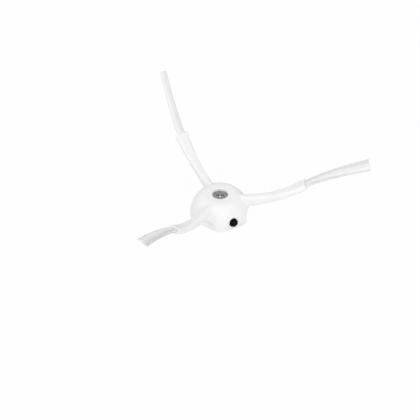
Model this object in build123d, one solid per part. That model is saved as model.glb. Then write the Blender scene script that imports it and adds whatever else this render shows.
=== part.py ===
from build123d import *
from math import asin, cos, degrees, radians, sin
import os

# A three-armed side brush, lying on its base rim with the screw head up.
# Millimetres and degrees. The origin is where the drive axis meets the plane of the base rim,
# +Z runs along the axis towards the screw head and the first arm points along +X.
ARM_COUNT = 3

# White moulding: the dome
HUB_RADIUS = 16.5
HUB_HEIGHT = 13.6
HUB_SHOULDER = 5.2
FLAT_DISTANCE = 14.8
FLAT_HEIGHT = 4.4
FLAT_SWEEP = 1.4
LUG_FLAT_DISTANCE = 15.5
SCREW_WELL_RADIUS = 4.3
WELL_EDGE = 0.5

# White moulding: the arms
ARM_START = 8.0
ARM_START_HEIGHT = 9.1
ARM_END = 46.4
ARM_END_SLOPE = 37.3
ARM_START_THICKNESS = 8.1
ARM_WAIST_THICKNESS = 4.8
ARM_END_THICKNESS = 3.6
ARM_START_WIDTH = 3.8
ARM_END_WIDTH = 7.5
ARM_ROUND = 1.5
END_ROUND = 0.3
ROOT_BLEND = 1.5
SLEEVE_WIDTH = 4.4
SLEEVE_THICKNESS = 1.8
SLEEVE_DEPTH = 6.0
SLEEVE_ROUND = 0.5

# Black core
CORE_RADIUS = 13.8
CORE_HEIGHT = 10.6
CORE_SHOULDER = 4.0
CORE_RECESS = 0.3
LUG_RADIUS = 2.35
LUG_CENTRE_HEIGHT = 4.7
LUG_REACH = 17.4
LUG_ROUND = 1.5
LUG_EASE = 0.1
SEAT_HEIGHT = 9.7
SOCKET_SIDE = 8.0
SOCKET_ROUND = 0.8
SOCKET_DEPTH = 6.5
SOCKET_LEAD = 0.5
BOSS_RADIUS = 6.8
POCKET_RADIUS = 11.3
POCKET_DEPTH = 5.2
RIB_COUNT = 6
RIB_WIDTH = 1.3
LIP_RADIUS = 1.75

# Screw
HEAD_RADIUS = 4.2
HEAD_HEIGHT = 2.7
HEAD_CROWN = 0.6
THREAD_RADIUS = 1.95
THREAD_LENGTH = 5.2
WAIST_RADIUS = 1.55
SHANK_LENGTH = 8.7
TIP_BEVEL = 0.6
RECESS_SPAN = 4.6
RECESS_SLOT = 1.25
RECESS_DEPTH = 1.9
RECESS_TAPER = 9.0

# Bristle tufts: for each, how far its tip is bent sideways, bent up and fanned out,
# as shares of the free length, and how far it is twisted
TUFT_LENGTH = 37.5
TUFT_SHAPES = ((-0.124, -0.145, 0.176, 47), (-0.100, 0.0, 0.095, -9), (0.097, -0.159, 0.168, -17))
TUFT_TIP_THICKNESS = 0.9
TUFT_STATIONS = 5
TUFT_MOUTH_DEPTH = 1.0
TUFT_EASE = 0.1
FLUTE_COUNT = 9
FLUTE_DEPTH = 0.2
TIP_SLIT_DEPTH = 7.0
TIP_SLIT_SHARE = 0.5

ARM_PITCH = 360 / ARM_COUNT
ARM_CURVE = (ARM_END - ARM_START) / sin(radians(ARM_END_SLOPE))


def dome(radius, height, shoulder):
    """Solid of revolution with a spherical side, a rounded shoulder and a flat top."""
    turn = degrees(asin((height - shoulder) / (radius - shoulder)))
    side = JernArc((radius, 0), (0, 1), radius, turn)
    crown = JernArc(side @ 1, side % 1, shoulder, 90 - turn)
    rest = Polyline(crown @ 1, (0, height), (0, 0), (radius, 0))
    return revolve(Plane.XZ * make_face(side + crown + rest), Axis.Z)


def arm_point(share, offset=0.0):
    """Point of an arm's centre curve in XZ, a share of the way out, moved square to the curve."""
    slope = share * radians(ARM_END_SLOPE)
    x = ARM_START + (ARM_CURVE - offset) * sin(slope)
    z = ARM_START_HEIGHT + ARM_CURVE - (ARM_CURVE - offset) * cos(slope)
    return x, z


def arm_solid():
    """One arm, tall and narrow at the hub, low and wide at its end: side view and plan intersected."""
    halves = [size / 2 for size in (ARM_START_THICKNESS, ARM_WAIST_THICKNESS, ARM_END_THICKNESS)]
    upper = [arm_point(i / 2, half) for i, half in enumerate(halves)]
    lower = [arm_point(i / 2, -half) for i, half in enumerate(halves)]
    side_view = make_face(
        ThreePointArc(*upper)
        + Line(upper[2], lower[2])
        + ThreePointArc(*reversed(lower))
        + Line(lower[0], upper[0])
    )
    start = (ARM_START, ARM_START_WIDTH / 2)
    flare = TangentArc(start, (ARM_END, ARM_END_WIDTH / 2), tangent=(1, 0))
    lead = PolarLine(flare @ 1, ARM_END_THICKNESS, direction=flare % 1)
    ends = Line(flare @ 0, (ARM_START, 0)) + Line(lead @ 1, ((lead @ 1).X, 0))
    half_plan = make_face(flare + lead + ends + Line((ARM_START, 0), ((lead @ 1).X, 0)))
    plan = half_plan + mirror(half_plan, Plane.XZ)
    arm = extrude(Plane.XZ * side_view, ARM_END_WIDTH, both=True)
    arm &= extrude(plan, ARM_END)
    long_edges = arm.edges().filter_by(lambda edge: edge.length > (ARM_END - ARM_START) / 2)
    arm = fillet(long_edges, ARM_ROUND)
    return fillet(arm.faces().sort_by(Axis.X)[-1].edges(), END_ROUND)


def sleeve_plane():
    """Plane of an arm's end face: local x sideways, local y up, normal along the tuft."""
    x, z = arm_point(1)
    slope = radians(ARM_END_SLOPE)
    return Plane(origin=(x, 0, z), x_dir=(0, 1, 0), z_dir=(cos(slope), 0, sin(slope)))


def sleeve_solid(mouth_gap=0.0):
    """Blind slot in an arm's end, from its floor up to a gap below the end face."""
    floor = sleeve_plane().offset(-SLEEVE_DEPTH)
    section = RectangleRounded(SLEEVE_WIDTH, SLEEVE_THICKNESS, SLEEVE_ROUND)
    return extrude(floor * section, SLEEVE_DEPTH - mouth_gap)


def fluted_face(width, thickness):
    """Flat bundle section: a crest for every strand, top and bottom, with grooves between."""
    step = width / (2 * FLUTE_COUNT)
    crest = thickness / 2
    top = []
    for i in range(1, 2 * FLUTE_COUNT):
        height = crest if i % 2 else crest - FLUTE_DEPTH
        top.append((-width / 2 + i * step, height))
    bottom = [(-x, -y) for x, y in top]
    return make_face(Polyline((-width / 2, 0), *top, (width / 2, 0), *bottom, close=True))


def tuft_solid(side_share, up_share, fan_share, twist):
    """Fused root in the sleeve, then a fluted bundle bent, twisted and fanned out to slit tips."""
    mouth = sleeve_plane()
    side_bend = side_share * TUFT_LENGTH
    up_bend = up_share * TUFT_LENGTH
    tip_width = fan_share * TUFT_LENGTH
    root_width = SLEEVE_WIDTH - 2 * TUFT_EASE
    root_thickness = SLEEVE_THICKNESS - 2 * TUFT_EASE

    def width(share):
        return root_width + (tip_width - root_width) * share

    def station(share):
        bend = share ** 1.5
        out = (TUFT_LENGTH + TUFT_MOUTH_DEPTH) * share - TUFT_MOUTH_DEPTH
        centre = mouth.from_local_coords((side_bend * bend, up_bend * bend, out))
        turn = 1.5 * share ** 0.5 / TUFT_LENGTH
        lean = (side_bend * turn, up_bend * turn, 1)
        along = mouth.from_local_coords(lean) - mouth.origin
        level = Plane(origin=centre, x_dir=(0, 1, 0), z_dir=along)
        return Plane(level.location * Rot(0, 0, twist * share))

    shares = [i / (TUFT_STATIONS - 1) for i in range(TUFT_STATIONS)]
    taper = TUFT_TIP_THICKNESS - root_thickness
    tuft = loft([station(s) * fluted_face(width(s), root_thickness + taper * s) for s in shares])

    tip = station(1)
    flat = Plane(origin=tip.origin, x_dir=tip.x_dir, z_dir=-tip.y_dir)
    slit_width = TIP_SLIT_SHARE * tip_width / FLUTE_COUNT
    for i in range(1, FLUTE_COUNT):
        depth = TIP_SLIT_DEPTH * (1 if i % 2 else 0.6)
        back = depth / TUFT_LENGTH
        across = i / FLUTE_COUNT - 0.5
        end = across * width(1 - back)
        left = across * tip_width - slit_width / 2
        slit = Polyline((left, 1), (left + slit_width, 1), (end, -depth), close=True)
        tuft -= extrude(flat * make_face(slit), TUFT_TIP_THICKNESS, both=True)
    return tuft + sleeve_solid(TUFT_MOUTH_DEPTH)


def around(shape, count, start=0.0):
    """Copies of a shape set evenly round the drive axis."""
    return [Rot(0, 0, start + 360 * i / count) * shape for i in range(count)]


def lug_solid(inner, outer, ease=0.0):
    """Round lug between two distances from the drive axis, midway between two arms."""
    lug = Cylinder(LUG_RADIUS + ease, outer - inner, align=(Align.CENTER, Align.CENTER, Align.MIN))
    return Rot(0, 0, -ARM_PITCH / 2) * Pos(inner, 0, LUG_CENTRE_HEIGHT) * Rot(0, 90, 0) * lug


def body_solid():
    """The one white moulding: dome and arms, with room for the core, its lug and the tufts."""
    beyond = 2 * HUB_RADIUS
    body = Rot(0, 0, ARM_PITCH / 2) * dome(HUB_RADIUS, HUB_HEIGHT, HUB_SHOULDER)
    body -= Cylinder(SCREW_WELL_RADIUS, 2 * HUB_HEIGHT)
    body = fillet(body.edges().group_by(Axis.Z)[-1].sort_by(SortBy.RADIUS)[0], WELL_EDGE)
    for arm in around(arm_solid(), ARM_COUNT):
        joined = body + arm
        body = fillet(new_edges(body, arm, combined=joined), ROOT_BLEND)
    wall = Line((FLAT_DISTANCE, 0), (FLAT_DISTANCE, FLAT_HEIGHT))
    sweep = JernArc(wall @ 1, wall % 1, FLAT_SWEEP, -90)
    rest = Polyline(sweep @ 1, (beyond, FLAT_HEIGHT + FLAT_SWEEP), (beyond, 0), (FLAT_DISTANCE, 0))
    body -= around(extrude(Plane.XZ * make_face(wall + sweep + rest), HUB_RADIUS, both=True), ARM_COUNT)
    body -= dome(CORE_RADIUS, CORE_HEIGHT, CORE_SHOULDER)
    lug_side = Pos(LUG_FLAT_DISTANCE, 0, 0) * Box(
        HUB_RADIUS, 2 * HUB_RADIUS, 2 * HUB_HEIGHT, align=(Align.MIN, Align.CENTER, Align.CENTER)
    )
    body -= Rot(0, 0, -ARM_PITCH / 2) * lug_side
    body -= lug_solid(0, beyond, LUG_EASE)
    return body - around(sleeve_solid(), ARM_COUNT)


def core_solid():
    """The black core: drive socket and ribs below, screw seat above, a lug to hold the body."""
    core = dome(CORE_RADIUS, CORE_HEIGHT, CORE_SHOULDER)
    lug = lug_solid(POCKET_RADIUS, LUG_REACH)
    lug_axis = Axis((0, 0, 0), (cos(radians(ARM_PITCH / 2)), -sin(radians(ARM_PITCH / 2)), 0))
    core += fillet(lug.edges().filter_by(GeomType.CIRCLE).sort_by(lug_axis)[-1], LUG_ROUND)
    core -= Box(4 * CORE_RADIUS, 4 * CORE_RADIUS, 2 * CORE_RECESS)
    core -= Pos(0, 0, SEAT_HEIGHT) * Cylinder(
        SCREW_WELL_RADIUS, CORE_HEIGHT, align=(Align.CENTER, Align.CENTER, Align.MIN)
    )
    core -= Cylinder(LIP_RADIUS, 2 * CORE_HEIGHT)
    below = Plane.XY.offset(CORE_RECESS)
    core -= extrude(below * RectangleRounded(SOCKET_SIDE, SOCKET_SIDE, SOCKET_ROUND), SOCKET_DEPTH)
    lead_side = SOCKET_SIDE + 2 * SOCKET_LEAD
    lead = RectangleRounded(lead_side, lead_side, SOCKET_ROUND + SOCKET_LEAD)
    core -= extrude(below * lead, SOCKET_LEAD, taper=45)
    ring = Circle(POCKET_RADIUS) - Circle(BOSS_RADIUS)
    rib = Rectangle(POCKET_RADIUS, RIB_WIDTH, align=(Align.MIN, Align.CENTER))
    ring -= around(rib, RIB_COUNT)
    core -= extrude(below * ring, POCKET_DEPTH)
    return core


def screw_solid():
    """Captive pan-head screw: cross recess, waist through the core's lip, threaded end below it."""
    top = SEAT_HEIGHT + HEAD_HEIGHT
    tip = SEAT_HEIGHT - SHANK_LENGTH
    outline = Polyline(
        (0, top),
        (0, tip),
        (THREAD_RADIUS - TIP_BEVEL, tip),
        (THREAD_RADIUS, tip + TIP_BEVEL),
        (THREAD_RADIUS, tip + THREAD_LENGTH),
        (WAIST_RADIUS, tip + THREAD_LENGTH),
        (WAIST_RADIUS, SEAT_HEIGHT),
        (HEAD_RADIUS, SEAT_HEIGHT),
        (HEAD_RADIUS, top - HEAD_CROWN),
    )
    crown = EllipticalCenterArc(
        (0, top - HEAD_CROWN), HEAD_RADIUS, HEAD_CROWN, start_angle=0, arc_size=90
    )
    screw = revolve(Plane.XZ * make_face(outline + crown), Axis.Z)
    cross = Rectangle(RECESS_SPAN, RECESS_SLOT) + Rectangle(RECESS_SLOT, RECESS_SPAN)
    screw -= extrude(Plane.XY.offset(top) * cross, -RECESS_DEPTH, taper=RECESS_TAPER)
    return screw


nodes = {
    "brush_body": body_solid(),
    "drive_core": core_solid(),
    "fixing_screw": screw_solid(),
}
for number, shape in enumerate(TUFT_SHAPES, start=1):
    nodes[f"bristle_tuft_{number}"] = Rot(0, 0, ARM_PITCH * (number - 1)) * tuft_solid(*shape)

os.makedirs("parts", exist_ok=True)
for name, shape in nodes.items():
    export_step(shape, f"parts/{name}.step")
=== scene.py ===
import math
import random

import bpy
from mathutils import Matrix, Quaternion, Vector


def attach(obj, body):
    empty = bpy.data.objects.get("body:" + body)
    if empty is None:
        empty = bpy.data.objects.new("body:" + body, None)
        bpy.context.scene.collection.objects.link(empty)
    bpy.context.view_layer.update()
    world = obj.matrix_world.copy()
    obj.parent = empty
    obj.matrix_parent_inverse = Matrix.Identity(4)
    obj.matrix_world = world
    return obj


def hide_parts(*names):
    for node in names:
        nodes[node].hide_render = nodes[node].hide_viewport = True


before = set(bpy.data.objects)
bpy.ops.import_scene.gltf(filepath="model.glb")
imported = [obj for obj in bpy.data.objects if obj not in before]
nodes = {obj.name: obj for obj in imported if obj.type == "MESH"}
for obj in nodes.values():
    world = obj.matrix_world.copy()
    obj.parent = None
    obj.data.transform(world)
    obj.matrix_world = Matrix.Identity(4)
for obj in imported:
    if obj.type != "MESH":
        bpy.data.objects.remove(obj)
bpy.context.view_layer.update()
scene = bpy.context.scene
scene.view_settings.view_transform = "Standard"

# Arms, as in the solids: metres, +Z up the drive axis, the first arm along +X
ARM_COUNT = 3
ARM_START = 0.008
ARM_START_HEIGHT = 0.0091
ARM_END = 0.0464
ARM_END_SLOPE = math.radians(37.3)
ARM_CURVE = (ARM_END - ARM_START) / math.sin(ARM_END_SLOPE)
ARM_END_HEIGHT = ARM_START_HEIGHT + ARM_CURVE * (1 - math.cos(ARM_END_SLOPE))

# Tufts: each one's bend sideways, bend up and fan as shares of its length, and its twist in degrees
TUFT_SHAPES = ((-0.124, -0.145, 0.176, 47), (-0.100, 0.0, 0.095, -9), (0.097, -0.159, 0.168, -17))
TUFT_LENGTH = 0.0375
TUFT_ROOT_WIDTH = 0.0042
TUFT_ROOT_THICKNESS = 0.0016
TUFT_TIP_THICKNESS = 0.0006
BEND_POWER = 1.5

# Tones: each tuft's tone in the middle, and the painted shade that it gains from there to one of its
# sides, lighter on one side and darker on the other
TUFT_TONES_AND_PAINTED_SHADE = ((0.49, -0.08), (0.56, 0.13), (0.56, -0.12))
# Painted shade that darkens every tuft towards both of its edges
EDGE_PAINTED_SHADE = 0.24
STRAND_TONE_SPREAD = 0.13
FILAMENT_TONE_SPREAD = 0.12

# Filaments: places along a tuft are shares of its length, places across and through it of its half sizes
STRAND_COUNT = 9
STRAND_SPREAD = 0.9
STRAND_GATHER = 0.8
FILAMENT_COUNT = 432
FILAMENT_SEED = 11
FILAMENT_RADIUS = 0.000085
FILAMENT_STEPS = 14
FILAMENT_ROOT = -0.05
FILAMENT_LAYER = (0.72, 0.95)
STRAY_ACROSS, STRAY_THICK = 0.03, 0.06
ACROSS_LIMIT, THICK_LIMIT = 0.98, 0.96
STRAY_POWER = 1.5
TIP_SCATTER = 0.007
TUBE_SIDES = 5
TUBE_END = 0.55

# Packed heart of a tuft: its fused root nearly fills the slot in the sleeve
HEART_ROOT = -0.13
HEART_MOUTH = -0.008
HEART_STEPS = 13
HEART_SIDES = 12
HEART_SQUARENESS = 1.3
HEART_FILL = (0.92, 0.92)
HEART_ROOT_FILL = (1.03, 1.08)

# Screw: the four wings of its recess, and its thread
HEAD_TOP = 0.0124
WING_COUNT = 4
WING_REACH = 0.00225
WING_MIDDLE_HALF, WING_MIDDLE_DEPTH = 0.00042, 0.0013
WING_END_HALF, WING_END_DEPTH = 0.00058, 0.00022
WING_BASE_HALF, WING_BASE_DEPTH = 0.00031, 0.0019
WING_BASE_INSET = 0.00028
RECESS_FLOOR = HEAD_TOP - WING_MIDDLE_DEPTH
# Reach of the painted highlight in the middle of the recess floor
RECESS_GLINT_REACH = 0.0017
THREAD_RADIUS = 0.00195
THREAD_FROM, THREAD_TO = 0.0017, 0.0061
THREAD_PITCH = 0.0008
THREAD_RIDGE = 0.00016
STEPS_PER_TURN = 24

# Floor and light: each lamp's azimuth in degrees and its power in watts
FLOOR_REACH = 3.0
FLOOR_WHITENESS = 0.95
LAMPS = {"left": (215, 2.7), "right": (300, 3.6)}
LAMP_ELEVATION = math.radians(30)
LAMP_DISTANCE = 1.2
LAMP_SIZE = 0.9
WORLD_STRENGTH = 0.81

# Camera: its angles, a pixel's size at the origin, and the column and row where the origin shows
IMAGE_SIZE = 420
VIEW_AZIMUTH = math.radians(272.41)
VIEW_ELEVATION = math.radians(41.06)
PIXEL_SIZE = 0.00055
FOCAL_PIXELS = 1830.0
ORIGIN_COLUMN, ORIGIN_ROW = 220.05, 212.4
SENSOR_WIDTH = 36
CLIP_START = 0.01

# Ramps: the value up to which the low colour holds, and the one from which the high colour does
RAMP_FROM, RAMP_TO = 0.3, 0.7


def clamp(value, limit):
    """Value held between minus limit and limit."""
    return max(-limit, min(limit, value))


def direction(azimuth, elevation):
    """Unit vector at these angles, in radians."""
    level = math.cos(elevation)
    return Vector((level * math.cos(azimuth), level * math.sin(azimuth), math.sin(elevation)))


def node_material(name):
    """A new node material, with its tree and its shader."""
    material = bpy.data.materials.new(name)
    material.use_nodes = True
    tree = material.node_tree
    return material, tree, tree.nodes["Principled BSDF"]


def set_sockets(node, values):
    """Sets plain values on a node's own sockets."""
    for socket, value in values.items():
        node.inputs[socket].default_value = value


def calculate(tree, operation, value, other):
    """Output of a Math node fed by a socket and by either a second socket or a plain number."""
    node = tree.nodes.new("ShaderNodeMath")
    node.operation = operation
    tree.links.new(value, node.inputs[0])
    if isinstance(other, float):
        node.inputs[1].default_value = other
    else:
        tree.links.new(other, node.inputs[1])
    return node.outputs["Value"]


def noise(tree, scale):
    """Noise in the piece's own space."""
    where = tree.nodes.new("ShaderNodeTexCoord")
    texture = tree.nodes.new("ShaderNodeTexNoise")
    texture.inputs["Scale"].default_value = scale
    tree.links.new(where.outputs["Object"], texture.inputs["Vector"])
    return texture.outputs["Fac"]


def ramp(tree, value, low, high):
    """Colour that runs from low to high as value goes through the ramp."""
    band = tree.nodes.new("ShaderNodeValToRGB")
    stops = band.color_ramp.elements
    for stop, position, colour in zip(stops, (RAMP_FROM, RAMP_TO), (low, high)):
        stop.position = position
        stop.color = (*colour, 1)
    tree.links.new(value, band.inputs["Fac"])
    return band.outputs["Color"]


def bump(tree, value, strength, distance):
    """Fine relief from a value."""
    relief = tree.nodes.new("ShaderNodeBump")
    set_sockets(relief, {"Strength": strength, "Distance": distance})
    tree.links.new(value, relief.inputs["Height"])
    return relief.outputs["Normal"]


def soft_white():
    """White soft plastic that lets a little light through."""
    material, tree, shader = node_material("soft_white")
    colour = ramp(tree, noise(tree, scale=90), low=(0.85, 0.85, 0.85), high=(0.87, 0.87, 0.865))
    relief = bump(tree, noise(tree, scale=4000), strength=0.05, distance=0.0001)
    tree.links.new(colour, shader.inputs["Base Color"])
    tree.links.new(relief, shader.inputs["Normal"])
    set_sockets(shader, {
        "Roughness": 0.55,
        "Specular IOR Level": 0.25,
        "Subsurface Weight": 0.3,
        "Subsurface Radius": (1, 1, 1),
        "Subsurface Scale": 0.0008,
    })
    return material


def core_black():
    """Black hard plastic, matt."""
    material, tree, shader = node_material("core_black")
    colour = ramp(tree, noise(tree, scale=300), low=(0.003, 0.003, 0.003), high=(0.006, 0.006, 0.006))
    tree.links.new(colour, shader.inputs["Base Color"])
    set_sockets(shader, {"Roughness": 0.6, "Specular IOR Level": 0.05})
    return material


def screw_steel():
    """Plated steel with a mottled grey."""
    material, tree, shader = node_material("screw_steel")
    colour = ramp(tree, noise(tree, scale=900), low=(0.30, 0.30, 0.305), high=(0.40, 0.40, 0.41))
    relief = bump(tree, noise(tree, scale=3000), strength=0.1, distance=0.0001)
    tree.links.new(colour, shader.inputs["Base Color"])
    tree.links.new(relief, shader.inputs["Normal"])
    set_sockets(shader, {"Metallic": 1.0, "Roughness": 0.38})
    return material


def recess_steel():
    """Steel of the cross recess: dull in the wings, with a bright painted highlight in the middle of its
    floor.
    """
    material, tree, shader = node_material("recess_steel")
    where = tree.nodes.new("ShaderNodeTexCoord")
    reach = tree.nodes.new("ShaderNodeVectorMath")
    reach.operation = "DISTANCE"
    reach.inputs[1].default_value = (0, 0, RECESS_FLOOR)
    tree.links.new(where.outputs["Object"], reach.inputs[0])
    share = calculate(tree, "DIVIDE", reach.outputs["Value"], RECESS_GLINT_REACH)
    # Painted highlight: near-white steel at the middle of the recess floor, fading to dull steel by its
    # reach
    colour = ramp(tree, share, low=(0.97, 0.97, 0.97), high=(0.30, 0.30, 0.305))
    tree.links.new(colour, shader.inputs["Base Color"])
    set_sockets(shader, {"Metallic": 1.0, "Roughness": 0.2})
    return material


def bristle():
    """Pale nylon, in the tone that each filament carries, painted shade included."""
    material, tree, shader = node_material("bristle")
    tone = tree.nodes.new("ShaderNodeAttribute")
    tone.attribute_name = "tone"
    colour = ramp(tree, tone.outputs["Fac"], low=(0.71, 0.71, 0.71), high=(0.92, 0.92, 0.92))
    tree.links.new(colour, shader.inputs["Base Color"])
    set_sockets(shader, {"Roughness": 0.45, "Specular IOR Level": 0.3})
    return material


def paint(node, material):
    """Gives a solid its material."""
    nodes[node].data.materials.clear()
    nodes[node].data.materials.append(material)


def add_piece(name, vertices, faces, material, smooth):
    """A new piece on the brush, from its mesh's lists."""
    mesh = bpy.data.meshes.new(name)
    mesh.from_pydata(vertices, [], faces)
    for polygon in mesh.polygons:
        polygon.use_smooth = smooth
    mesh.materials.append(material)
    piece = bpy.data.objects.new(name, mesh)
    scene.collection.objects.link(piece)
    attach(piece, "root")
    return piece


def skin_rings(first, ring_count, sides, faces):
    """Adds the faces of a closed skin over rings of vertices that start at the index first."""
    for ring in range(ring_count - 1):
        for k in range(sides):
            a = first + ring * sides + k
            b = first + ring * sides + (k + 1) % sides
            faces.append((a, b, b + sides, a + sides))
    last = first + (ring_count - 1) * sides
    faces.append(tuple(last + k for k in range(sides)))
    faces.append(tuple(first + k for k in reversed(range(sides))))


def tube(points, radius, vertices, faces):
    """Adds a thin closed tube along points, narrowed at its last one."""
    first = len(vertices)
    for i, point in enumerate(points):
        ahead = points[min(i + 1, len(points) - 1)] - points[max(i - 1, 0)]
        along = ahead.normalized()
        side = along.cross(Vector((0, 0, 1))).normalized()
        up = side.cross(along)
        size = radius * (TUBE_END if i == len(points) - 1 else 1)
        for k in range(TUBE_SIDES):
            turn = 2 * math.pi * k / TUBE_SIDES
            vertices.append(point + (side * math.cos(turn) + up * math.sin(turn)) * size)
    skin_rings(first, len(points), TUBE_SIDES, faces)


def tuft_point(number, share, across, thick):
    """Point in a tuft: share of its length, across and thick from -1 to 1 of its half sizes."""
    side_share, up_share, fan_share, twist = TUFT_SHAPES[number]
    out = max(share, 0)
    end = Vector((ARM_END, 0, ARM_END_HEIGHT))
    side = Vector((0, 1, 0))
    along = Vector((math.cos(ARM_END_SLOPE), 0, math.sin(ARM_END_SLOPE)))
    up = along.cross(side)
    bend = side * side_share + up * up_share
    ahead = (along + bend * BEND_POWER * out ** (BEND_POWER - 1)).normalized()
    flat = (side - ahead * ahead.dot(side)).normalized()
    flat.rotate(Quaternion(ahead, math.radians(twist) * out))
    width = TUFT_ROOT_WIDTH + (fan_share * TUFT_LENGTH - TUFT_ROOT_WIDTH) * out
    thickness = TUFT_ROOT_THICKNESS + (TUFT_TIP_THICKNESS - TUFT_ROOT_THICKNESS) * out
    point = end + (along * share + bend * out ** BEND_POWER) * TUFT_LENGTH
    point += flat * (across * width / 2) + ahead.cross(flat) * (thick * thickness / 2)
    return Matrix.Rotation(number * 2 * math.pi / ARM_COUNT, 3, "Z") @ point


def packed_heart(number, vertices, faces):
    """Adds the close-packed heart of a tuft, from its root in the sleeve to short of the tips."""
    first = len(vertices)
    shares = [HEART_ROOT] + [HEART_MOUTH + i / HEART_STEPS for i in range(HEART_STEPS + 1)]
    for share in shares:
        wide, deep = HEART_ROOT_FILL if share < 0 else HEART_FILL
        for k in range(HEART_SIDES):
            turn = 2 * math.pi * (k + 0.5) / HEART_SIDES
            across = clamp(HEART_SQUARENESS * math.cos(turn), 1)
            thick = clamp(HEART_SQUARENESS * math.sin(turn), 1)
            vertices.append(tuft_point(number, share, wide * across, deep * thick))
    skin_rings(first, len(shares), HEART_SIDES, faces)


def filament_path(rng, number, middle):
    """Points along one filament of a tuft, in the strand whose middle lies this far across."""
    across = middle + rng.uniform(-STRAND_SPREAD, STRAND_SPREAD) / STRAND_COUNT
    side = rng.choice((-1, 1))
    thick = side * rng.uniform(*FILAMENT_LAYER)
    gathered = middle + STRAND_GATHER * (across - middle)
    tip_across = clamp(gathered + rng.gauss(0, STRAY_ACROSS), ACROSS_LIMIT)
    tip_thick = clamp(thick + rng.gauss(0, STRAY_THICK), THICK_LIMIT)
    length = 1 - abs(rng.gauss(0, TIP_SCATTER))
    points = []
    for step in range(FILAMENT_STEPS):
        share = FILAMENT_ROOT + (length - FILAMENT_ROOT) * step / (FILAMENT_STEPS - 1)
        drift = max(share, 0) ** STRAY_POWER
        step_across = across + (tip_across - across) * drift
        step_thick = thick + (tip_thick - thick) * drift
        points.append(tuft_point(number, share, step_across, step_thick))
    return points


def filaments(number, material):
    """One tuft of single filaments, gathered in strands, in place of the fluted solid."""
    rng = random.Random(number + FILAMENT_SEED)
    vertices, faces, tones = [], [], []
    middles = [-1 + (2 * i + 1) / STRAND_COUNT for i in range(STRAND_COUNT)]
    tone, painted_shade_lean = TUFT_TONES_AND_PAINTED_SHADE[number]
    strand_tones_with_painted_shade = []
    for middle in middles:
        chance = rng.uniform(-STRAND_TONE_SPREAD, STRAND_TONE_SPREAD)
        # Painted shade: darker to one side of the tuft and towards both its edges, plus a random spread
        strand_tones_with_painted_shade.append(tone + painted_shade_lean * middle - EDGE_PAINTED_SHADE * middle ** 2 + chance)
    for i in range(FILAMENT_COUNT):
        strand = i % STRAND_COUNT
        tube(filament_path(rng, number, middles[strand]), FILAMENT_RADIUS, vertices, faces)
        own_tone = strand_tones_with_painted_shade[strand] + rng.uniform(-FILAMENT_TONE_SPREAD, FILAMENT_TONE_SPREAD)
        tones += [own_tone] * (len(vertices) - len(tones))
    packed_heart(number, vertices, faces)
    tones += [tone] * (len(vertices) - len(tones))
    piece = add_piece(f"filaments_{number + 1}", vertices, faces, material, False)
    # The tone attribute carries each filament's tone with its painted shade
    piece.data.attributes.new("tone", "FLOAT", "POINT").data.foreach_set("value", tones)
    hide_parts(f"bristle_tuft_{number + 1}")


def screw_thread(material):
    """Thread ridge round the end of the screw."""
    vertices, faces, points = [], [], []
    turns = (THREAD_TO - THREAD_FROM) / THREAD_PITCH
    steps = round(turns * STEPS_PER_TURN)
    for i in range(steps + 1):
        turn = 2 * math.pi * turns * i / steps
        height = THREAD_FROM + (THREAD_TO - THREAD_FROM) * i / steps
        points.append(Vector((THREAD_RADIUS * math.cos(turn), THREAD_RADIUS * math.sin(turn), height)))
    tube(points, THREAD_RIDGE, vertices, faces)
    add_piece("screw_thread", vertices, faces, material, True)


def screw_recess(material):
    """Sloping floors of the wings of the cross recess."""
    profile = (
        (0, WING_MIDDLE_HALF, WING_MIDDLE_DEPTH),
        (WING_REACH, WING_END_HALF, WING_END_DEPTH),
        (WING_REACH - WING_BASE_INSET, WING_BASE_HALF, WING_BASE_DEPTH),
        (0, WING_BASE_HALF, WING_BASE_DEPTH),
    )
    vertices, faces = [], []
    for wing in range(WING_COUNT):
        turn = Matrix.Rotation(wing * 2 * math.pi / WING_COUNT, 3, "Z")
        first = len(vertices)
        for out, half, depth in profile:
            for side in (-1, 1):
                vertices.append(turn @ Vector((out, side * half, HEAD_TOP - depth)))
        ring = list(range(first, len(vertices), 2))
        for a, b in zip(ring, ring[1:] + ring[:1]):
            faces.append((a, b, b + 1, a + 1))
        faces.append(tuple(reversed(ring)))
        faces.append(tuple(a + 1 for a in ring))
    add_piece("screw_recess", vertices, faces, material, False)


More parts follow.
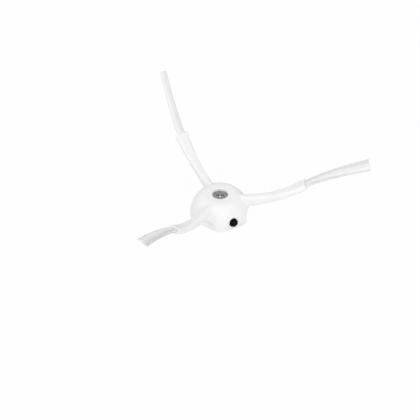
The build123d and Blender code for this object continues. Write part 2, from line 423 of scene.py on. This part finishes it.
def floor():
    """Pale floor that keeps a soft shadow and shows white to the camera and in the metal."""
    corners = [(x * FLOOR_REACH, y * FLOOR_REACH, 0) for x, y in ((-1, -1), (1, -1), (1, 1), (-1, 1))]
    mesh = bpy.data.meshes.new("floor")
    mesh.from_pydata(corners, [], [(0, 1, 2, 3)])
    piece = bpy.data.objects.new("floor", mesh)
    scene.collection.objects.link(piece)
    material, tree, shader = node_material("floor")
    colour = ramp(tree, noise(tree, scale=3), low=(0.79, 0.79, 0.79), high=(0.81, 0.81, 0.81))
    tree.links.new(colour, shader.inputs["Base Color"])
    set_sockets(shader, {"Roughness": 0.9, "Specular IOR Level": 0.0})
    white = tree.nodes.new("ShaderNodeEmission")
    white.inputs["Strength"].default_value = 1.0
    path = tree.nodes.new("ShaderNodeLightPath")
    seen = path.outputs["Is Camera Ray"]
    for ray in ("Is Glossy Ray", "Is Transmission Ray"):
        seen = calculate(tree, "MAXIMUM", seen, path.outputs[ray])
    mix = tree.nodes.new("ShaderNodeMixShader")
    tree.links.new(calculate(tree, "MULTIPLY", seen, FLOOR_WHITENESS), mix.inputs["Fac"])
    tree.links.new(shader.outputs["BSDF"], mix.inputs[1])
    tree.links.new(white.outputs["Emission"], mix.inputs[2])
    tree.links.new(mix.outputs["Shader"], tree.nodes["Material Output"].inputs["Surface"])
    mesh.materials.append(material)


def area_light(name, azimuth, power):
    """Soft lamp that shines at the hub."""
    light = bpy.data.lights.new(name, "AREA")
    light.shape = "DISK"
    light.size = LAMP_SIZE
    light.energy = power
    lamp = bpy.data.objects.new(name, light)
    lamp.location = direction(azimuth, LAMP_ELEVATION) * LAMP_DISTANCE
    lamp.rotation_euler = lamp.location.to_track_quat("Z", "Y").to_euler()
    scene.collection.objects.link(lamp)


def world_light():
    """Even white light from all round."""
    world = bpy.data.worlds.new("studio")
    world.use_nodes = True
    set_sockets(world.node_tree.nodes["Background"], {"Color": (1, 1, 1, 1), "Strength": WORLD_STRENGTH})
    scene.world = world


def camera():
    """Camera of the photograph: found from the positions of the arms, the tips and the hub."""
    data = bpy.data.cameras.new("camera")
    data.sensor_width = SENSOR_WIDTH
    data.lens = SENSOR_WIDTH * FOCAL_PIXELS / IMAGE_SIZE
    data.clip_start = CLIP_START
    eye = bpy.data.objects.new("camera", data)
    toward = direction(VIEW_AZIMUTH, VIEW_ELEVATION)
    turn = toward.to_track_quat("Z", "Y")
    right, up = turn @ Vector((1, 0, 0)), turn @ Vector((0, 1, 0))
    eye.location = toward * FOCAL_PIXELS * PIXEL_SIZE
    eye.location -= right * (ORIGIN_COLUMN - IMAGE_SIZE / 2) * PIXEL_SIZE
    eye.location += up * (ORIGIN_ROW - IMAGE_SIZE / 2) * PIXEL_SIZE
    eye.rotation_euler = turn.to_euler()
    scene.collection.objects.link(eye)
    scene.camera = eye


# The brush: materials for the solids, and the pieces that are added
steel, pale = screw_steel(), bristle()
paint("brush_body", soft_white())
paint("drive_core", core_black())
paint("fixing_screw", steel)
for number in range(ARM_COUNT):
    paint(f"bristle_tuft_{number + 1}", pale)
    filaments(number, pale)
screw_thread(steel)
screw_recess(recess_steel())

# Floor, light and camera
floor()
world_light()
for lamp_name, (lamp_azimuth, lamp_power) in LAMPS.items():
    area_light(lamp_name, math.radians(lamp_azimuth), lamp_power)
camera()
